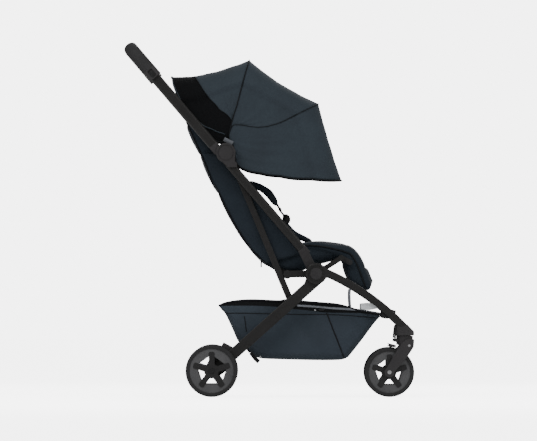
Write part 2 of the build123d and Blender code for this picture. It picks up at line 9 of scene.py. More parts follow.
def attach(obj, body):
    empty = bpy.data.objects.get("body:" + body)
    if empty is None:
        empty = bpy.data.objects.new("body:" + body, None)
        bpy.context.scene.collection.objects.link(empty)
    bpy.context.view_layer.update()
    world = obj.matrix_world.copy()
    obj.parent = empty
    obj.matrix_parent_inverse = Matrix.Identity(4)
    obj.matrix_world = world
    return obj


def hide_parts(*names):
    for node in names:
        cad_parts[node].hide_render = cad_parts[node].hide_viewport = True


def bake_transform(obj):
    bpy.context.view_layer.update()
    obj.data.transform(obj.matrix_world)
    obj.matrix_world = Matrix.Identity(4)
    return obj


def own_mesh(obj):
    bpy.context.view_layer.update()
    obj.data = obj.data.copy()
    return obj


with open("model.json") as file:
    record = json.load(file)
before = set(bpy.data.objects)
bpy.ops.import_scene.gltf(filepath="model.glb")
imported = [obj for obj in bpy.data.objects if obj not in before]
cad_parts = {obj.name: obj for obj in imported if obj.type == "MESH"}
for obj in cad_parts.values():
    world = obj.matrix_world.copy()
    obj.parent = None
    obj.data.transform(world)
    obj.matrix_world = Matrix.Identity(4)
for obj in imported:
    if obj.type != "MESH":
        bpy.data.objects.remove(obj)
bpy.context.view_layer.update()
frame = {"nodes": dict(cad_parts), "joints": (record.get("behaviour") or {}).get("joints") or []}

# ------------------------------------------------------------ sizes and places
MM = 0.001
# The drawing's X at the middle of the overall length
MIDDLE_X = 2.76


def at(x, z, y=0.0):
    """A point in the row frame, from the drawing's x and z in millimetres and y in metres."""
    return Vector(((x - MIDDLE_X) * MM, y, z * MM))


def pivot(joint):
    """A joint's place at rest."""
    found = next(j for j in frame["joints"] if j["name"] == joint)
    return Vector(found["pos_m"])


CANOPY_PIVOT = pivot("canopy_fold")
SIDES = (1, -1)
SIDE_NAMES = {1: "left", -1: "right"}
SIDEWAYS = Vector((0, 1, 0))


# ------------------------------------------------------------ materials
class Shader:
    """A node material around one Principled shader, with short calls for what repeats."""

    def __init__(self, name, roughness, **constants):
        self.material = bpy.data.materials.new(name)
        self.material.use_nodes = True
        self.nodes = self.material.node_tree.nodes
        self.links = self.material.node_tree.links
        self.shader = self.nodes["Principled BSDF"]
        self.shader.inputs["Roughness"].default_value = roughness
        for socket, value in constants.items():
            self.shader.inputs[socket.replace("_", " ")].default_value = value
        self.place = self.nodes.new("ShaderNodeTexCoord").outputs["Object"]

    def add(self, kind, inputs=(), **settings):
        node = self.nodes.new(kind)
        for key, value in settings.items():
            setattr(node, key, value)
        for socket, value in dict(inputs).items():
            if isinstance(value, bpy.types.NodeSocket):
                self.links.new(value, node.inputs[socket])
            else:
                node.inputs[socket].default_value = value
        return node

    def noise(self, scale, detail=3.0, rough=0.55, stretch=(1, 1, 1)):
        moved = self.add("ShaderNodeMapping", {"Vector": self.place, "Scale": stretch})
        return self.add(
            "ShaderNodeTexNoise",
            {"Vector": moved.outputs[0], "Scale": scale, "Detail": detail, "Roughness": rough},
        ).outputs[0]

    def wave(self, scale, turn, distortion=0.0):
        moved = self.add("ShaderNodeMapping", {"Vector": self.place, "Rotation": turn})
        return self.add(
            "ShaderNodeTexWave",
            {"Vector": moved.outputs[0], "Scale": scale, "Distortion": distortion, "Detail": 1.0},
            bands_direction="X",
        ).outputs[1]

    def blend(self, factor, low, high, low_at=0.0, high_at=1.0):
        ramp = self.add("ShaderNodeValToRGB", {0: factor})
        ramp.color_ramp.elements[0].position = low_at
        ramp.color_ramp.elements[1].position = high_at
        ramp.color_ramp.elements[0].color = (*low, 1)
        ramp.color_ramp.elements[1].color = (*high, 1)
        return ramp.outputs[0]

    def sum(self, first, second, share):
        scaled = self.add("ShaderNodeMath", {0: second, 1: share}, operation="MULTIPLY")
        return self.add("ShaderNodeMath", {0: first, 1: scaled.outputs[0]}, operation="ADD").outputs[0]

    def product(self, first, second):
        return self.add("ShaderNodeMath", {0: first, 1: second}, operation="MULTIPLY").outputs[0]

    def mix(self, factor, first, second, mode="MIX"):
        node = self.nodes.new("ShaderNodeMix")
        node.data_type = "RGBA"
        node.blend_type = mode
        for socket, value in ((0, factor), (6, first), (7, second)):
            if isinstance(value, bpy.types.NodeSocket):
                self.links.new(value, node.inputs[socket])
            else:
                node.inputs[socket].default_value = value if socket == 0 else (*value, 1)
        return node.outputs[2]

    def colour(self, socket):
        self.links.new(socket, self.shader.inputs["Base Color"])

    def rough(self, factor, low, high):
        spread = self.add(
            "ShaderNodeMapRange", {"Value": factor, "To Min": low, "To Max": high}
        )
        self.links.new(spread.outputs[0], self.shader.inputs["Roughness"])

    def bump(self, *layers):
        normal = None
        for height, distance, strength in layers:
            node = self.add(
                "ShaderNodeBump", {"Height": height, "Distance": distance, "Strength": strength}
            )
            if normal is not None:
                self.links.new(normal, node.inputs["Normal"])
            normal = node.outputs[0]
        self.links.new(normal, self.shader.inputs["Normal"])
        return self.material


def shade(colour, factor):
    return tuple(min(1.0, c * factor) for c in colour)


def cloth(name, colour, thread_mm=1.3, slub=0.25, sheen=0.04):
    """Woven polyester: a diagonal weave, slubs, faint fading and soft creases."""
    s = Shader(name, 0.85, Sheen_Weight=sheen, Sheen_Roughness=0.4, Specular_IOR_Level=0.12)
    per_metre = 1.0 / (thread_mm * MM) / 20.0 * 6.28
    warp = s.wave(per_metre, (0.0, 0.79, 0.4), 0.6)
    weft = s.wave(per_metre, (0.0, -0.79, -0.4), 0.6)
    weave = s.sum(warp, weft, 1.0)
    slubs = s.noise(420, 2.0, 0.6, (1, 1, 5))
    fade = s.noise(7, 4.0, 0.6)
    base = s.blend(fade, shade(colour, 0.82), shade(colour, 1.22), 0.3, 0.72)
    threads = s.blend(weave, shade((1, 1, 1), 0.72), (1, 1, 1), 0.3, 1.6)
    base = s.mix(0.5, base, threads, "MULTIPLY")
    flecks = s.blend(slubs, shade(colour, 0.75), shade(colour, 1.5), 0.42, 0.66)
    s.colour(s.mix(slub, base, flecks))
    s.rough(fade, 0.74, 0.9)
    creases = s.noise(26, 3.0, 0.5)
    return s.bump((creases, 0.0016, 0.35), (weave, 0.00018, 0.5), (slubs, 0.0001, 0.4))


def open_mesh(name, colour):
    """Black net: a grid of dark holes between fine threads."""
    s = Shader(name, 0.8, Specular_IOR_Level=0.06)
    one = s.wave(110, (0.0, 0.79, 0.0))
    two = s.wave(110, (0.0, -0.79, 0.0))
    threads = s.sum(one, two, 1.0)
    s.colour(s.blend(threads, shade(colour, 0.35), shade(colour, 1.7), 0.5, 1.0))
    return s.bump((threads, 0.0005, 0.8))


def webbing(name, colour):
    """Ribbed woven tape."""
    s = Shader(name, 0.75, Specular_IOR_Level=0.15)
    ribs = s.wave(70, (0.0, 0.0, 1.5708))
    grain = s.noise(700, 2.0)
    s.colour(s.blend(s.sum(ribs, grain, 0.5), shade(colour, 0.65), shade(colour, 1.35), 0.2, 1.2))
    return s.bump((ribs, 0.0004, 0.7), (grain, 0.0001, 0.4))


def moulded(name, colour, roughness=0.5, grain_mm=0.5):
    """Moulded plastic with a fine spark-eroded grain and a painted highlight along its convex edges."""
    s = Shader(name, roughness, Specular_IOR_Level=0.22)
    grain = s.noise(1.0 / (grain_mm * MM), 2.0, 0.5)
    cloud = s.noise(12, 4.0, 0.6)
    # Painted highlight: convex edges, where pointiness is high, are mixed towards a lighter tone of the
    # colour.
    edge = s.add("ShaderNodeNewGeometry").outputs["Pointiness"]
    edge_highlight = s.blend(edge, (0, 0, 0), (1, 1, 1), 0.5, 0.62)
    base = s.blend(cloud, shade(colour, 0.88), shade(colour, 1.14), 0.3, 0.7)
    s.colour(s.mix(s.product(edge_highlight, 0.35), base, shade(colour, 2.2)))
    s.rough(s.sum(cloud, grain, 0.4), roughness - 0.1, roughness + 0.14)
    return s.bump((grain, 0.00008, 0.35))


def coated(name, colour, roughness=0.34):
    """Powder-coated aluminium: fine orange peel over a satin coat."""
    s = Shader(name, roughness, Specular_IOR_Level=0.24)
    peel = s.noise(900, 2.0, 0.5)
    cloud = s.noise(9, 4.0, 0.6)
    scuffs = s.noise(60, 6.0, 0.7, (1, 1, 4))
    base = s.blend(cloud, shade(colour, 0.9), shade(colour, 1.12), 0.3, 0.7)
    rubbed = s.blend(scuffs, (0, 0, 0), (1, 1, 1), 0.66, 0.78)
    s.colour(s.mix(s.product(rubbed, 0.25), base, shade(colour, 1.9)))
    s.rough(s.sum(cloud, scuffs, 0.5), roughness - 0.1, roughness + 0.16)
    return s.bump((peel, 0.00006, 0.3))


def rubber(name, colour, roughness=0.78):
    s = Shader(name, roughness, Specular_IOR_Level=0.2)
    grain = s.noise(500, 3.0, 0.6)
    dust = s.noise(20, 5.0, 0.7)
    s.colour(s.blend(dust, shade(colour, 0.88), shade(colour, 1.3), 0.35, 0.75))
    s.rough(dust, roughness - 0.08, min(1.0, roughness + 0.12))
    return s.bump((grain, 0.00005, 0.35))


def steel(name):
    s = Shader(name, 0.32, Metallic=1.0)
    brushed = s.noise(300, 3.0, 0.6, (1, 12, 1))
    s.colour(s.blend(brushed, (0.22, 0.22, 0.225), (0.34, 0.34, 0.345), 0.3, 0.7))
    s.rough(brushed, 0.24, 0.42)
    return s.bump((brushed, 0.00003, 0.3))


def two_tone_wheel(name, axle, face_y):
    """Moulded grey wheel with a darker star: the star's face stands further out than the ring's."""
    s = Shader(name, 0.45, Specular_IOR_Level=0.22)
    place = s.add("ShaderNodeSeparateXYZ", {0: s.place}).outputs
    out = s.add("ShaderNodeMath", {0: place[1]}, operation="ABSOLUTE").outputs[0]
    proud = s.add("ShaderNodeMath", {0: out, 1: face_y}, operation="GREATER_THAN").outputs[0]
    centred = s.add("ShaderNodeVectorMath", {0: s.place, 1: tuple(axle)}, operation="SUBTRACT")
    flat = s.add("ShaderNodeVectorMath", {0: centred.outputs[0], 1: (1, 0, 1)}, operation="MULTIPLY")
    reach = s.add("ShaderNodeVectorMath", {0: flat.outputs[0]}, operation="LENGTH").outputs["Value"]
    middle = s.add("ShaderNodeMath", {0: reach, 1: 0.0232}, operation="LESS_THAN").outputs[0]
    star = s.add("ShaderNodeMath", {0: proud, 1: middle}, operation="MAXIMUM").outputs[0]
    cloud = s.noise(14, 4.0, 0.6)
    ring = s.blend(cloud, (0.043, 0.043, 0.045), (0.060, 0.060, 0.062), 0.3, 0.7)
    s.colour(s.mix(star, ring, (0.0105, 0.0102, 0.0106)))
    grain = s.noise(1800, 2.0, 0.5)
    s.rough(cloud, 0.36, 0.56)
    return s.bump((grain, 0.00006, 0.3))


CANOPY_NAVY = (0.0215, 0.0285, 0.0355)
BASKET_NAVY = (0.0250, 0.0325, 0.0415)
SEAT_NAVY = (0.0110, 0.0155, 0.0210)
MATERIALS = {
    "canopy": cloth("canopy_cloth", CANOPY_NAVY, 1.4),
    # Painted shade: near-black cloth that stands for the shaded inside of the basket.
    "inner_shade": cloth("painted_inner_shade", (0.0035, 0.0038, 0.0045), 1.1),
    "basket": cloth("basket_cloth", BASKET_NAVY, 1.6, 0.3),
    "seat": cloth("seat_cloth", SEAT_NAVY, 1.3, 0.2, 0.02),
    "binding": webbing("binding_tape", (0.0040, 0.0045, 0.0055)),
    "grey_binding": webbing("grey_binding_tape", (0.105, 0.112, 0.125)),
    "webbing": webbing("harness_webbing", (0.0042, 0.0045, 0.0052)),
    "net": open_mesh("window_net", (0.0026, 0.0028, 0.0032)),
    "tube": coated("charcoal_coat", (0.0070, 0.0066, 0.0065)),
    "fitting": moulded("black_plastic", (0.0145, 0.0135, 0.0143), 0.46),
    "dark_fitting": moulded("dark_plastic", (0.0060, 0.0060, 0.0064), 0.5),
    "rear_wheel": two_tone_wheel("rear_wheel_plastic", pivot("rear_wheel_left_spin"), 0.2275),
    "front_wheel": two_tone_wheel("front_wheel_plastic", pivot("front_wheel_left_spin"), 0.2095),
    "pale": moulded("pale_plastic", (0.30, 0.31, 0.32), 0.5),
    "grip": rubber("foam_grip", (0.0185, 0.0185, 0.0190), 0.82),
    "tyre": rubber("tyre_rubber", (0.0165, 0.0165, 0.0170), 0.8),
    "steel": steel("bright_steel"),
}


# ------------------------------------------------------------ mesh tools
def piece(name, verts, faces, material, smooth=True):
    mesh = bpy.data.meshes.new(name)
    mesh.from_pydata([tuple(v) for v in verts], [], faces)
    mesh.validate()
    mesh.update()
    for polygon in mesh.polygons:
        polygon.use_smooth = smooth
    mesh.materials.append(MATERIALS[material])
    obj = bpy.data.objects.new(name, mesh)
    bpy.context.scene.collection.objects.link(obj)
    return obj


def grid_faces(rows, columns, wrap=False):
    """Quads over rows of vertices; wrap joins each row's last vertex to its first."""
    faces = []
    for i in range(rows - 1):
        for j in range(columns if wrap else columns - 1):
            k = (j + 1) % columns
            faces.append((i * columns + j, i * columns + k, (i + 1) * columns + k, (i + 1) * columns + j))
    return faces


def keep_modifiers(obj):
    """Apply an object's modifiers to its mesh."""
    bpy.context.view_layer.update()
    made = bpy.data.meshes.new_from_object(obj.evaluated_get(bpy.context.evaluated_depsgraph_get()))
    old = obj.data
    obj.modifiers.clear()
    obj.data = made
    bpy.data.meshes.remove(old)
    return obj


def thicken(obj, thickness):
    """Give a sheet its thickness, half to each side."""
    solid = obj.modifiers.new("thickness", "SOLIDIFY")
    solid.thickness = thickness
    solid.offset = 0.0
    return keep_modifiers(obj)


def smoothed(obj):
    """Subdivide a mesh once."""
    subdivision = obj.modifiers.new("smooth", "SUBSURF")
    subdivision.levels = subdivision.render_levels = 1
    return keep_modifiers(obj)


def outward(obj):
    """Turn every face of a closed mesh outwards."""
    work = bmesh.new()
    work.from_mesh(obj.data)
    bmesh.ops.recalc_face_normals(work, faces=work.faces)
    work.to_mesh(obj.data)
    work.free()
    return obj


def spline(points, count):
    """A smooth curve through given points, evenly divided."""
    ends = [points[0] * 2 - points[1], *points, points[-1] * 2 - points[-2]]
    fine = []
    for i in range(1, len(ends) - 2):
        a, b, c, d = ends[i - 1 : i + 3]
        for k in range(16):
            t = k / 16
            square, cube = 2 * a - 5 * b + 4 * c - d, 3 * b - a - 3 * c + d
            fine.append(0.5 * ((2 * b) + (c - a) * t + square * t**2 + cube * t**3))
    fine.append(points[-1].copy())
    return even(fine, count)


def even(points, count):
    """Points at equal steps along a run of points."""
    lengths = [0.0]
    for a, b in zip(points, points[1:]):
        lengths.append(lengths[-1] + (b - a).length)
    out, k = [], 0
    for n in range(count):
        want = lengths[-1] * n / (count - 1)
        while k < len(points) - 2 and lengths[k + 1] < want:
            k += 1
        span = lengths[k + 1] - lengths[k]
        out.append(points[k].lerp(points[k + 1], (want - lengths[k]) / span if span else 0.0))
    return out


def tube(name, points, radius, material, sides=8, flat=1.0):
    """A round or flattened cord along points, closed at both ends."""
    verts, count = [], len(points)
    for n, point in enumerate(points):
        ahead = points[min(n + 1, count - 1)] - points[max(n - 1, 0)]
        ahead.normalize()
        across = SIDEWAYS - ahead * SIDEWAYS.dot(ahead)
        if across.length < 1e-4:
            across = Vector((1, 0, 0)) - ahead * ahead.x
        across.normalize()
        other = ahead.cross(across)
        for k in range(sides):
            a = 2 * pi * k / sides
            verts.append(point + across * radius * cos(a) + other * radius * flat * sin(a))
    faces = grid_faces(count, sides, wrap=True)
    faces.append(tuple(range(sides - 1, -1, -1)))
    faces.append(tuple(range((count - 1) * sides, count * sides)))
    return outward(piece(name, verts, faces, material))


def strap(name, points, width, thickness, material):
    """A flat strap along points, with rolled edges."""
    section = [
        (-0.5, -0.2), (-0.46, 0.5), (0, 0.62), (0.46, 0.5),
        (0.5, -0.2), (0.46, -0.5), (0, -0.38), (-0.46, -0.5),
    ]
    verts, count = [], len(points)
    for n, point in enumerate(points):
        ahead = (points[min(n + 1, count - 1)] - points[max(n - 1, 0)]).normalized()
        side = (SIDEWAYS - ahead * SIDEWAYS.dot(ahead)).normalized()
        out = side.cross(ahead)
        verts += [point + side * a * width + out * b * thickness for a, b in section]
    sides = len(section)
    faces = grid_faces(count, sides, wrap=True)
    faces.append(tuple(range(sides - 1, -1, -1)))
    faces.append(tuple(range((count - 1) * sides, count * sides)))
    return outward(piece(name, verts, faces, material))


def run_length(points):
    return sum((b - a).length for a, b in zip(points, points[1:]))


# ------------------------------------------------------------ CAD nodes that stay
NODE_MATERIALS = {
    "tube": (
        "lower_tubes", "handle_tubes", "rear_legs", "rear_axle_tube", "front_legs",
        "struts", "seat_arms", "seat_cross_tubes", "handle_cranks",
    ),
    "fitting": (
        "tube_fittings", "joint_covers", "handle_fittings", "hub_caps", "stem_housings",
        "rear_leg_feet", "canopy_mounts", "swivel_head", "fork_left", "fork_right",
    ),
    "dark_fitting": (
        "leg_clips", "lock_lever", "fold_button", "brake_pedal", "brake_pin", "calf_hinges",
        "backrest_hinges", "harness_buckle", "rear_leg_pins", "buckle_button", "canopy_bow",
    ),
    "steel": ("pivot_pins", "fork_bolts"),
    "pale": ("foot_crossbar",),
    "grip": ("handle_grip",),
    "tyre": ("rear_tyre", "front_tyre"),
    "rear_wheel": ("rear_rim",),
    "front_wheel": ("front_rim",),
}


def dress_nodes():
    """Give every CAD node its finished material."""
    for name, obj in frame["nodes"].items():
        for key, starts in NODE_MATERIALS.items():
            if name.startswith(starts):
                obj.data.materials.clear()
                obj.data.materials.append(MATERIALS[key])


dress_nodes()


# ------------------------------------------------------------ canopy
CANOPY_HALF = 0.167
CANOPY_CORNER = 0.070
SHEET_THICKNESS = 0.0010
# Vertices up one side of a fan line, round its corner and to the middle of its top
SIDE_STEPS, CORNER_STEPS, TOP_STEPS = 22, 12, 9
BINDING_POINTS = 150
# Each line of the fan as (millimetres from the pivot, degrees above the horizontal)
REAR_EDGE = (
    (255, 131.5), (235, 134.8), (185, 141.2), (132, 147.5), (76, 161), (45, 176), (25, 190), (11, 198),
)
NET_EDGE = ((219, 117.9), (164, 116.5), (137, 114.4), (95, 106), (62, 82), (46, 82), (28, 86), (11, 94))
REAR_BAND = ((254, 131.6), (235, 134.3), (185, 140), (132, 144.7), (83, 149.6), (40, 142), (22, 121))
FIRST_BOW = ((249, 75.8), (106, 76.9), (46, 81), (28, 84), (11, 92))
SECOND_BOW = (
    (290, 22.6), (221, 21.2), (161, 19.2), (121, 20.2), (93, 25),
    (72, 36), (58, 55), (50, 74), (28, 82), (11, 90),
)
HEM = (
    (356, -19.2), (269, -24.9), (182, -34.9), (132, -46.5), (103, -59),
    (83, -68.7), (61, -71.9), (27, -57), (11, -30),
)


def seam_angle(line, radius):
    """The angle of a fan line at a distance from the pivot."""
    if radius >= line[0][0]:
        return line[0][1]
    for (outer, high), (inner, low) in zip(line, line[1:]):
        if radius >= inner:
            return low + (high - low) * (radius - inner) / (outer - inner)
    return line[-1][1]


def fan_section(line):
    """One half loop over the child along a fan line: (distance, angle, y, outward radial, outward y)."""
    reach, start = line[0][0] * MM, line[-1][0] * MM
    corner, out = CANOPY_CORNER, []
    straight = reach - corner - start
    for k in range(SIDE_STEPS):
        share = k / SIDE_STEPS
        radius = start + straight * share
        flare = 0.006 * sin(pi * min(1.0, share * 1.1))
        out.append((radius, CANOPY_HALF - 0.004 + flare - 0.002 * share, 0.0, 1.0))
    for k in range(CORNER_STEPS):
        turn = (k + 0.5) / CORNER_STEPS * pi / 2
        y = CANOPY_HALF - corner + corner * cos(turn)
        out.append((reach - corner + corner * sin(turn), y, sin(turn), cos(turn)))
    for k in range(TOP_STEPS):
        y = (CANOPY_HALF - corner) * (1 - (k + 1) / TOP_STEPS)
        out.append((reach, y, 1.0, 0.0))
    half_loop = [(r, seam_angle(line, r / MM), y, a, b) for r, y, a, b in out]
    return half_loop + [(r, t, -y, a, -b) for r, t, y, a, b in reversed(half_loop[:-1])]


def fan_point(radius, degrees, y):
    t = radians(degrees)
    return CANOPY_PIVOT + Vector((radius * cos(t), y, radius * sin(t)))


def fan_line(line, lift=0.0):
    """Points along a fan line on the cloth's surface, from one pivot to the other."""
    out = []
    for radius, degrees, y, a, b in fan_section(line):
        t = radians(degrees)
        out.append(fan_point(radius, degrees, y) + Vector((cos(t) * a, b, sin(t) * a)) * lift)
    return out


def fan_panel(name, first, last, sag, tuck, columns, material, crease=0.0010):
    """Cloth stretched between two fan lines: it dips between the bows and creases towards the pivots."""
    one, two = fan_section(first), fan_section(last)
    verts = []
    for k in range(columns + 1):
        t = k / columns
        hollow = 4 * t * (1 - t)
        for (r1, d1, y1, a1, b1), (r2, d2, y2, a2, b2) in zip(one, two):
            point = fan_point(r1, d1, y1).lerp(fan_point(r2, d2, y2), t)
            middle = radians(d1 + (d2 - d1) * t)
            out = Vector((cos(middle) * a1, b1, sin(middle) * a1))
            deep = (sag * a1 * a1 + tuck * b1 * b1) * hollow
            reach = min(1.0, (r1 + (r2 - r1) * t) / 0.12)
            ripple = noise.noise(Vector((t * 9.0, r1 * 9.0, y1 * 6.0 + 3.0))) * crease * 1.6
            pull = noise.noise(Vector((t * 26.0, r1 * 3.5, 7.0 if y1 > 0 else 11.0))) * crease * b1 * b1
            verts.append(point - out * (deep * reach - (ripple + pull) * hollow))
    obj = piece(name, verts, grid_faces(columns + 1, len(one)), material)
    loop = max(run_length(fan_line(first)), run_length(fan_line(last)))
    thicken(obj, SHEET_THICKNESS)
    return obj


def fan_blend(obj):
    """Bake the piece's placement into its mesh."""
    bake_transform(obj)


def binding(name, line, radius, body, material="binding", lift=0.0008, flat=0.6):
    """Bound tape over a fan line."""
    points = even(fan_line(line, lift), BINDING_POINTS)
    obj = tube(name, points, radius, material, sides=8, flat=flat)
    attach(obj, body)
    return obj


def canopy():
    window = fan_panel("canopy_window", REAR_EDGE, NET_EDGE, 0.001, 0.002, 14, "net", 0.0006)
    rear = fan_panel("canopy_shade_rear", NET_EDGE, FIRST_BOW, 0.005, 0.004, 26, "canopy")
    front = fan_panel("canopy_shade_front", FIRST_BOW, SECOND_BOW, 0.010, 0.005, 32, "canopy")
    visor = fan_panel("canopy_shade_visor", SECOND_BOW, HEM, 0.003, 0.004, 28, "canopy")
    for obj in (window, rear):
        fan_blend(obj)
    fan_blend(front)
    fan_blend(visor)
    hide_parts("canopy_rear")
    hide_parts("canopy_front")
    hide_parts("canopy_visor")
    binding("canopy_rear_binding", REAR_EDGE, 0.0030, "frame")
    binding("canopy_rear_band", REAR_BAND, 0.0048, "frame", "canopy", 0.0014, 0.35)
    binding("canopy_first_seam", FIRST_BOW, 0.0024, "canopy_first")
    binding("canopy_second_seam", SECOND_BOW, 0.0015, "canopy_second")
    binding("canopy_hem_binding", HEM, 0.0030, "canopy_hem")
    net_run = even(fan_line(NET_EDGE, 0.0006), BINDING_POINTS)
    net_seam = tube("canopy_net_seam", net_run, 0.0016, "binding", flat=0.5)
    fan_blend(net_seam)


canopy()


# ------------------------------------------------------------ padded pieces
def flat_points(points):
    return [at(x, z) for x, z in points]


def rounded_loop(points, count, passes=3):
    """A closed outline with its corners cut soft, as evenly spaced points."""
    loop = flat_points(points)
    for _ in range(passes):
        cut = []
        for a, b in zip(loop, loop[1:] + loop[:1]):
            cut += [a.lerp(b, 0.25), a.lerp(b, 0.75)]
        loop = cut
    return even(loop + loop[:1], count + 1)[:-1]


def profile_pad(name, points, half, edge, crown, material, middle=0.0, count=110, wide=28):
    """A pad with this side outline: full in the middle of its width and rounded at both sides."""
    loop = rounded_loop(points, count)
    normals = []
    for k, point in enumerate(loop):
        along = loop[(k + 1) % count] - loop[k - 1]
        normals.append(Vector((along.z, 0, -along.x)).normalized())
    turn = sum(a.x * b.z - b.x * a.z for a, b in zip(loop, loop[1:] + loop[:1]))
    facing = 1 if turn > 0 else -1
    verts = []
    for j in range(wide + 1):
        y = -half * cos(pi * j / wide)
        over = max(0.0, abs(y) - (half - edge)) / edge
        inset = edge * (1 - max(0.0, 1 - over * over) ** 0.5) * 0.9 - crown * (1 - (y / half) ** 2)
        verts += [p - n * inset * facing + Vector((0, middle + y, 0)) for p, n in zip(loop, normals)]
    faces = grid_faces(wide + 1, count, wrap=True)
    faces += [tuple(range(count)), tuple(range(wide * count, (wide + 1) * count))]
    return outward(piece(name, verts, faces, material))


def to_line(point, line):
    """Distance from a point to a run of points, seen from the side."""
    best = 9.0
    for a, b in zip(line, line[1:]):
        span = Vector((b.x - a.x, 0, b.z - a.z))
        off = Vector((point.x - a.x, 0, point.z - a.z))
        share = min(1.0, max(0.0, off.dot(span) / max(span.dot(span), 1e-9)))
        best = min(best, (off - span * share).length)
    return best


def pad_out(obj, voxel, seams, cap, pressure=4.0, frames=16, wrinkle=0.0008):
    """Fill a cover as cloth under pressure, held at its seams, then sink the seams and crease the cloth."""
    remesh = obj.modifiers.new("even", "REMESH")
    remesh.mode, remesh.voxel_size = "VOXEL", voxel
    keep_modifiers(obj)
    verts = obj.data.vertices
    start = [v.co.copy() for v in verts]
    depth = [seams(v.co) for v in verts]
    held = obj.vertex_groups.new(name="held")
    held.add([k for k, d in enumerate(depth) if d > 0.5], 1.0, "REPLACE")
    cover = obj.modifiers.new("cover", "CLOTH")
    cover.settings.quality = 5
    cover.settings.mass = 0.25
    cover.settings.tension_stiffness = cover.settings.compression_stiffness = 12
    cover.settings.vertex_group_mass = "held"
    cover.settings.use_pressure = True
    cover.settings.uniform_pressure_force = pressure
    cover.settings.effector_weights.gravity = 0
    for frame_number in range(1, frames + 1):
        bpy.context.scene.frame_set(frame_number)
    keep_modifiers(obj)
    bpy.context.scene.frame_set(1)
    obj.vertex_groups.clear()
    verts = obj.data.vertices
    normals = [v.normal.copy() for v in verts]
    for v, rest, normal, deep in zip(verts, start, normals, depth):
        move = v.co - rest
        if move.length > cap:
            move *= cap / move.length
        crease = noise.noise(rest * 38) + 0.5 * noise.noise(rest * 90)
        v.co = rest + move + normal * (crease * wrinkle - deep * 0.0022)
    smoothed(obj)
    obj.data.polygons.foreach_set("use_smooth", [True] * len(obj.data.polygons))
    return obj


def near(line, width):
    """How strongly a seam pulls: 1 on the line, falling to 0 at a width away from it."""
    return lambda point: max(0.0, 1 - to_line(point, line) / width)


def raised(points, radius, y, name, material):
    """Piping on one side of a pad, along side-view points."""
    run = spline([at(x, z, y) for x, z in points], 90)
    return tube(name, run, radius, material, sides=8)


# ------------------------------------------------------------ seat
BACK_REAR = (
    (-245, 822), (-221, 769), (-187, 693), (-164, 631), (-153, 625), (-140, 592),
    (-100, 515), (-56, 446), (-26, 418), (-1, 396), (11, 389),
)
BACK_FRONT = (
    (22, 404), (14, 436), (-30, 462), (-74, 530), (-110, 600), (-128, 644), (-150, 712), (-184, 786),
    (-222, 834),
)
SEAT_TOP = (
    (24, 430), (70, 446), (112, 459), (132, 463), (180, 457), (202, 454), (230, 454), (248, 447), (264, 432),
    (276, 414), (288, 388), (297, 359), (306, 342), (307, 333), (304, 316),
)
SEAT_UNDER = (
    (288, 321), (262, 336), (240, 351), (230, 384), (224, 404), (206, 420), (148, 406), (123, 396),
    (96, 385), (72, 378), (48, 380), (26, 394),
)
SEAT_PIPING = (
    (30, 438), (70, 447), (112, 453), (157, 450), (202, 441), (233, 432), (248, 424),
    (262, 402), (272, 379), (282, 352), (290, 330),
)
BACK_RIBS = (((-70, 440), (-10, 480)), ((-170, 596), (-96, 640)), ((-224, 716), (-146, 750)))
# Half widths
BACK_WIDTH = 0.141
SEAT_WIDTH = 0.142


def seat():
    back = profile_pad("seat_back", BACK_REAR + BACK_FRONT, BACK_WIDTH, 0.012, 0.004, "seat")
    ribs = [flat_points(line) for line in BACK_RIBS]

    def back_seams(point):
        side = max(0.0, 1 - abs(abs(point.y) - (BACK_WIDTH - 0.002)) / 0.005)
        across = max(near(rib, 0.006)(point) for rib in ribs)
        column = max(0.0, 1 - abs(abs(point.y) - 0.060) / 0.006)
        return max(side, across, column * 0.8)

    pad_out(back, 0.006, back_seams, 0.006, 5.0)
    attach(back, "backrest")
    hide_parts("backrest_pad")

    pan = profile_pad("seat_pan", SEAT_TOP + SEAT_UNDER, SEAT_WIDTH, 0.014, 0.004, "seat", count=140)
    knee, shin = flat_points(((214, 380), (238, 470))), flat_points(((240, 376), (310, 392)))
    pipe = flat_points(SEAT_PIPING)

    def pan_seams(point):
        side = near(pipe, 0.005)(point) if abs(point.y) > SEAT_WIDTH - 0.012 else 0.0
        across = max(near(knee, 0.006)(point), near(shin, 0.005)(point) * 0.8)
        return max(side, across)

    pad_out(pan, 0.005, pan_seams, 0.006, 4.0)
    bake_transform(pan)
    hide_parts("seat_cushion", "calf_pad")
    for side in SIDES:
        name = f"seat_piping_{SIDE_NAMES[side]}"
        pipe_run = raised(SEAT_PIPING, 0.0022, side * (SEAT_WIDTH + 0.0005), name, "binding")
        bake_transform(pipe_run)
        name = f"back_piping_{SIDE_NAMES[side]}"
        edge = raised(BACK_REAR[:-1], 0.0022, side * (BACK_WIDTH - 0.004), name, "binding")
        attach(edge, "backrest")


WING_REAR = ((-4, 398), (-52, 448), (-96, 516), (-136, 594), (-160, 640), (-184, 696), (-197, 728))
WING_FRONT = ((95, 426), (72, 466), (32, 524), (-18, 592), (-56, 642), (-100, 700), (-120, 724))


def side_wings():
    """Cloth gussets from the back to the side tubes."""
    rows, columns = 46, 18
    rear, front = spline(flat_points(WING_REAR), rows), spline(flat_points(WING_FRONT), rows)
    for side in SIDES:
        verts = []
        for k, (a, b) in enumerate(zip(rear, front)):
            for j in range(columns + 1):
                t = j / columns
                point = a.lerp(b, t)
                slack = 0.0022 * sin(pi * t) * sin(k * 0.55 + 2.2 * t) + noise.noise(point * 30) * 0.0018
                verts.append(point + Vector((0, side * (0.1455 + 0.0052 * t + slack * 0.7), 0)))
        obj = piece(f"seat_wing_{SIDE_NAMES[side]}", verts, grid_faces(rows, columns + 1), "seat")
        thicken(obj, 0.0009)
        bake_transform(obj)
        if side == 1:
            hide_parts("side_wings")


seat()
side_wings()


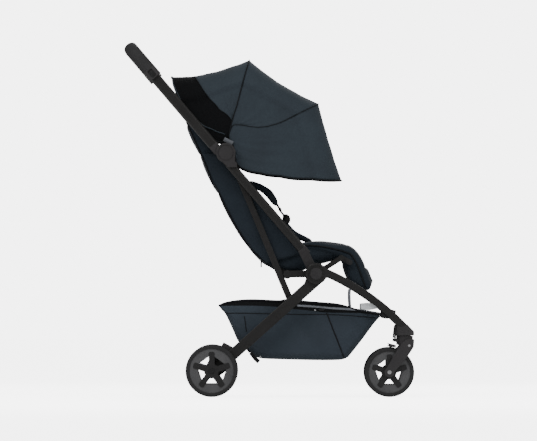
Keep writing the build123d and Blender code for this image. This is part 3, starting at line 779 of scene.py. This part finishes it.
# ------------------------------------------------------------ basket
BASKET_HALF = 0.147
BAG_TOP = (
    (-146, 273), (-125, 281), (-89, 287), (-43, 289), (31, 286), (53, 289), (90, 286), (150, 281),
    (200, 277), (240, 268), (274, 257), (334, 246),
)
BAG_EDGE = (
    (-146, 271), (-125, 272), (-40, 272), (40, 268), (83, 262), (133, 257), (173, 252), (240, 251),
    (276, 250), (333, 243),
)
BAG_FLOOR = (
    (-146, 270), (-139, 261), (-127, 247), (-108, 207), (-89, 166), (-66, 146), (-44, 125), (-28, 117),
    (-6, 114), (21, 113), (90, 111), (155, 110), (215, 111), (236, 118), (246, 128), (282, 174), (316, 220),
    (334, 240),
)
BAG_BINDING = ((86, 273), (133, 270), (190, 265), (240, 262), (276, 259), (335, 249))
BAG_DIAGONAL = ((175, 250), (196, 196), (214, 150), (226, 118))
BAG_UPRIGHT = ((-71, 241), (-68, 218), (-65, 195))
BAG_HEM = ((-128, 250), (-60, 250), (20, 248), (100, 246), (170, 246), (240, 243), (320, 236))
BAG_LOOP = ((-63, 147), (-52, 131), (-38, 113), (-28, 104))
BAG_SEAMS = (("diagonal", BAG_DIAGONAL, 0.0019), ("upright", BAG_UPRIGHT, 0.0013), ("hem", BAG_HEM, 0.0012))
BAG_RIVETS = ((-24, 121), (140, 259))


def squashed(obj):
    """Soft goods under the seat: attached to the frame's body, each with a mesh of its own."""
    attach(obj, "frame")
    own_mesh(obj)


def basket():
    """A lofted bag: each section goes down one side, across the sagging floor and up the other."""
    stations, high, low, flat = 96, 4, 26, 30
    top, edge, floor = (spline(flat_points(line), stations) for line in (BAG_TOP, BAG_EDGE, BAG_FLOOR))
    verts = []
    for k, (a, b, c) in enumerate(zip(top, edge, floor)):
        along = k / (stations - 1)
        depth = (c - b).length
        bend = min(0.022, depth * 0.45)
        half_section = [(a.lerp(b, n / high), 0.0) for n in range(high)]
        for n in range(low + 1):
            share = n / low
            corner = max(0.0, share * depth - (depth - bend)) / max(bend, 1e-6)
            pull = bend * (1 - max(0.0, 1 - corner * corner) ** 0.5)
            swell = 0.0042 * sin(pi * share) * sin(pi * along) ** 0.5
            crease = noise.noise(Vector((along * 14, share * 4, 2.0))) * 0.0022 * sin(pi * share)
            half_section.append((b.lerp(c, share), pull - swell - crease))
        left = [(p, BASKET_HALF - inward) for p, inward in half_section]
        end = left[-1][1]
        middle = []
        for n in range(1, flat):
            y = end * (1 - 2 * n / flat)
            sag = 0.004 * (1 - (y / BASKET_HALF) ** 2) * sin(pi * along)
            wave = noise.noise(Vector((along * 12, y * 22, 5.0))) * 0.0015 * sin(pi * along)
            middle.append((c + Vector((0, 0, sag + wave)), y))
        section = left + middle + [(p, -y) for p, y in reversed(left)]
        verts += [p + Vector((0, y, 0)) for p, y in section]
    width = 2 * (high + low + 1) + flat - 1
    bag = piece("basket_bag", verts, grid_faces(stations, width), "basket")
    # Painted shade: the upper band of each side, between the top and edge lines, is near-black in place of the
    # basket's shaded inside seen above a dipping rim.
    bag.data.materials.append(MATERIALS["inner_shade"])
    for face in bag.data.polygons:
        column = min(k % width for k in face.vertices)
        if column < high or column >= width - 1 - high:
            face.material_index = 1
    thicken(bag, 0.0012)
    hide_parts("basket")
    squashed(bag)
    rim = spline([at(x, z, BASKET_HALF) for x, z in BAG_TOP], 90)
    across = even([rim[-1], rim[-1] + Vector((0, -2 * BASKET_HALF, 0))], 20)
    back = [Vector((p.x, -p.y, p.z)) for p in reversed(rim)]
    close = even([back[-1], rim[0]], 20)
    hoop = tube("basket_rim", rim + across[1:-1] + back + close[1:-1], 0.0032, "binding")
    squashed(hoop)
    for side in SIDES:
        label = SIDE_NAMES[side]
        squashed(sewn_tape(bag, BAG_BINDING, side, f"basket_tape_{label}", 0.0065, "grey_binding"))
        squashed(sewn_tape(bag, BAG_LOOP, side, f"basket_loop_{label}", 0.011, "webbing", 0.0018))
        for key, line, thick in BAG_SEAMS:
            run = on_side(bag, line, side, 0.0003)
            squashed(tube(f"basket_seam_{key}_{label}", run, thick, "binding"))
        for number, (x, z) in enumerate(BAG_RIVETS):
            place = on_side(bag, ((x, z), (x + 1, z)), side, 0.0010)[0]
            squashed(rivet(f"basket_rivet_{number}_{label}", place, side))


TAPE_POINTS = 60


def on_side(cover, points, side, lift):
    """A run along side-view points that lies on the cover's outer face."""
    run = []
    for point in spline(flat_points(points), TAPE_POINTS):
        hit, place, _, _ = cover.ray_cast(Vector((point.x, side * 0.4, point.z)), Vector((0, -side, 0)))
        y = place.y if hit and abs(place.y) > 0.12 else side * BASKET_HALF
        run.append(Vector((point.x, y + side * lift, point.z)))
    return run


def sewn_tape(cover, points, side, name, width, material, lift=0.0006):
    """Tape that follows the cover's outer face along side-view points."""
    return tape(on_side(cover, points, side, lift), side, name, width, material)


def strap_line(points, y, name, width, material):
    """Tape sewn flat on a side, along side-view points."""
    run = spline([at(x, z, y) for x, z in points], TAPE_POINTS)
    return tape(run, 1 if y > 0 else -1, name, width, material)


def tape(run, outer, name, width, material):
    """Flat tape along a run, with its face to the side."""
    verts, count = [], len(run)
    lift = outer * 0.0012
    for n, point in enumerate(run):
        ahead = (run[min(n + 1, count - 1)] - run[max(n - 1, 0)]).normalized()
        side = Vector((-ahead.z, 0, ahead.x)) * width / 2
        rise = Vector((0, lift, 0))
        verts += [point - side, point - side * 0.9 + rise, point + rise * 1.15]
        verts += [point + side * 0.9 + rise, point + side, point - rise * 0.3]
    faces = grid_faces(count, 6, wrap=True)
    faces += [tuple(range(6)), tuple(range((count - 1) * 6, count * 6))]
    return outward(piece(name, verts, faces, material))


RIVET_RADIUS = 0.0032


def rivet(name, place, side):
    """A domed steel rivet that faces sideways."""
    rings, verts = ((1.0, 0.0), (1.0, 0.25), (0.85, 0.5), (0.5, 0.68), (0.12, 0.74)), []
    for size, rise in rings:
        for k in range(16):
            a = 2 * pi * k / 16
            offset = Vector((cos(a) * size, side * rise, sin(a) * size))
            verts.append(place + offset * RIVET_RADIUS)
    faces = grid_faces(len(rings), 16, wrap=True)
    faces += [tuple(range(16)), tuple(range(64, 80))]
    return outward(piece(name, verts, faces, "steel"))


# ------------------------------------------------------------ harness
SHOULDER_PAD = (
    (-58, 648), (-25, 638), (-2, 625), (12, 615), (17, 603), (25, 593), (29, 576), (22, 572), (12, 580),
    (2, 594), (-12, 610), (-34, 624), (-62, 634),
)
CROTCH_PAD = (
    (58, 522), (66, 512), (76, 500), (92, 489), (111, 480), (131, 470), (132, 458), (108, 465), (86, 473),
    (64, 487), (50, 504), (48, 520),
)
SHOULDER_Y = 0.066
LAP_WIDTH = 0.022
BUCKLE_STRAP = ((26, 578, 0.062), (33, 565, 0.05), (40, 553, 0.034), (46, 546, 0.022))
LAP_STRAP = ((50, 533, 0.029), (44, 516, 0.06), (26, 482, 0.105), (14, 452, 0.128))


def strap_run(name, points, width, body, middle=0.0, thickness=0.0034):
    run = spline([at(x, z, y + middle) for x, z, y in points], 40)
    obj = strap(name, run, width, thickness, "webbing")
    if body == "across":
        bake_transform(obj)
    else:
        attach(obj, body)
    return obj


def shoulder_seams(p):
    """Where a shoulder pad is held: along its inner and outer edges."""
    inner, outer = (1 - abs(abs(p.y) - y) / 0.002 for y in (0.0435, 0.0885))
    return max(0.0, inner, outer)


def harness():
    for side in SIDES:
        label = SIDE_NAMES[side]
        middle = side * SHOULDER_Y
        name = f"shoulder_pad_{label}"
        pad = profile_pad(name, SHOULDER_PAD, 0.023, 0.005, 0.0012, "seat", middle=middle, count=70, wide=14)
        pad_out(pad, 0.0032, shoulder_seams, 0.003, 4.0, 10, 0.0005)
        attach(pad, "backrest")
        upper = ((-118, 654, 0), (-90, 652, 0), (-64, 643, 0), (-50, 640, 0))
        strap_run(f"shoulder_strap_{label}", upper, 0.025, "backrest", middle)
        lower = tuple((x, z, side * y) for x, z, y in BUCKLE_STRAP)
        strap_run(f"buckle_strap_{label}", lower, LAP_WIDTH, "across", thickness=0.0052)
        for number, (x, z, y) in enumerate(((20, 583, 0.064), (35, 561, 0.046))):
            spread = 0.013
            points = ((x - 6, z + 4), (x + 1, z + 8), (x + 7, z - 3), (x - 1, z - 8))
            name = f"strap_slider_{number}_{label}"
            slider = moulded_clip(name, points, side * (y - spread), side * (y + spread))
            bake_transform(slider)
        lap = tuple((x, z, side * y) for x, z, y in LAP_STRAP)
        strap_run(f"lap_strap_{label}", lap, LAP_WIDTH, "frame")
    crotch = profile_pad("crotch_pad", CROTCH_PAD, 0.019, 0.004, 0.0010, "seat", count=60, wide=12)
    pad_out(crotch, 0.0030, lambda p: max(0.0, 1 - abs(abs(p.y) - 0.0175) / 0.002), 0.002, 3.0, 8, 0.0004)
    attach(crotch, "frame")
    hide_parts("lap_straps")
    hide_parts("shoulder_straps")


RIBBON = ((244, 322), (243, 300), (245, 262))
CANOPY_TAG = ((-106, 757), (-119, 763), (-132, 770))
BACK_LOOP = ((-20, 408), (-21, 399), (-21, 388))
BASKET_CLIP = ((149, 257), (168, 257), (169, 264), (150, 266))
BASKET_BRACKET = ((337, 234), (366, 233), (367, 255), (350, 257), (337, 250))


def small_parts():
    """Ribbons, tags and clips that show at the sides."""
    for side in SIDES:
        label = SIDE_NAMES[side]
        ribbon = strap_line(RIBBON, side * 0.118, f"ribbon_{label}", 0.0075, "grey_binding")
        squashed(ribbon)
        tag = strap_line(CANOPY_TAG, side * 0.1692, f"canopy_tag_{label}", 0.013, "grey_binding")
        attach(tag, "frame")
        loop = strap_line(BACK_LOOP, side * 0.136, f"back_loop_{label}", 0.0045, "webbing")
        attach(loop, "backrest")
        squashed(moulded_clip(f"basket_clip_{label}", BASKET_CLIP, side * 0.1492, side * 0.1522))
        squashed(moulded_clip(f"basket_bracket_{label}", BASKET_BRACKET, side * 0.1465, side * 0.1500))


CLIP_POINTS = 36


def moulded_clip(name, points, y_low, y_high):
    """A small moulded plate with its edges rounded over."""
    loop = rounded_loop(points, CLIP_POINTS, 2)
    centre = sum(loop, Vector()) / len(loop)
    verts = []
    thick = y_high - y_low
    rings = ((0.92, y_low), (1.0, y_low + thick * 0.2), (1.0, y_low + thick * 0.75), (0.93, y_high))
    for share, y in rings:
        for p in loop:
            verts.append(Vector((centre.x + (p.x - centre.x) * share, y, centre.z + (p.z - centre.z) * share)))
    faces = grid_faces(len(rings), CLIP_POINTS, wrap=True)
    top = (len(rings) - 1) * CLIP_POINTS
    faces += [tuple(range(CLIP_POINTS)), tuple(range(top, top + CLIP_POINTS))]
    return outward(piece(name, verts, faces, "dark_fitting"))


basket()
harness()
small_parts()


# ------------------------------------------------------------ floor, light, camera
BACKDROP = (0.93, 0.93, 0.93)
SURROUND_LIGHT = 0.5
SURROUND_SEEN = 5.5
FLOOR_GLOW = 4.9
FLOOR_REACH = 40.0
LAMP_AIM = Vector((0, 0, 0.5))
CAMERA_PLACE = Vector((-0.0019, -30.0, 0.3))
CAMERA_AIM = Vector((-0.0019, 0.0, 0.528))


def studio():
    """A flat pale floor, a pale surround and three soft lights."""
    ground = Shader("pale_floor", 0.9, Specular_IOR_Level=0.1)
    ground.shader.inputs["Emission Color"].default_value = (1, 1, 1, 1)
    camera_ray = ground.add("ShaderNodeLightPath").outputs["Is Camera Ray"]
    seen = ground.add("ShaderNodeMath", {0: camera_ray, 1: FLOOR_GLOW}, operation="MULTIPLY")
    ground.links.new(seen.outputs[0], ground.shader.inputs["Emission Strength"])
    speckle = ground.noise(3, 2.0)
    ground.colour(ground.blend(speckle, shade(BACKDROP, 0.99), BACKDROP, 0.3, 0.7))
    MATERIALS["floor"] = ground.material
    corners = [(x * FLOOR_REACH, y * FLOOR_REACH, 0) for x, y in ((-1, -1), (1, -1), (1, 1), (-1, 1))]
    piece("floor", corners, [(0, 1, 2, 3)], "floor", smooth=False)
    world = bpy.data.worlds.new("surround")
    world.use_nodes = True
    nodes, links = world.node_tree.nodes, world.node_tree.links
    surround = nodes["Background"]
    surround.inputs[0].default_value = (1, 1, 1, 1)
    strength = nodes.new("ShaderNodeMapRange")
    strength.inputs["To Min"].default_value = SURROUND_LIGHT
    strength.inputs["To Max"].default_value = SURROUND_SEEN
    links.new(nodes.new("ShaderNodeLightPath").outputs["Is Camera Ray"], strength.inputs["Value"])
    links.new(strength.outputs[0], surround.inputs[1])
    bpy.context.scene.world = world
    for name, place, size, power in (
        ("key", (-1.6, -2.6, 3.4), 2.4, 130),
        ("fill", (2.8, -2.4, 1.8), 2.6, 60),
        ("back", (0.6, 3.0, 3.0), 2.4, 80),
    ):
        lamp = bpy.data.lights.new(name, "AREA")
        lamp.size, lamp.energy = size, power
        obj = bpy.data.objects.new(name, lamp)
        obj.location = place
        obj.rotation_euler = (LAMP_AIM - Vector(place)).to_track_quat("-Z", "Y").to_euler()
        bpy.context.scene.collection.objects.link(obj)


def camera():
    """Side on and far away, so that the near and far wheels stand in line."""
    lens = bpy.data.cameras.new("camera")
    lens.lens, lens.sensor_width = 670, 36
    lens.clip_end = 200
    obj = bpy.data.objects.new("camera", lens)
    obj.location = CAMERA_PLACE
    obj.rotation_euler = (CAMERA_AIM - CAMERA_PLACE).to_track_quat("-Z", "Y").to_euler()
    bpy.context.scene.collection.objects.link(obj)
    bpy.context.scene.camera = obj


studio()
camera()
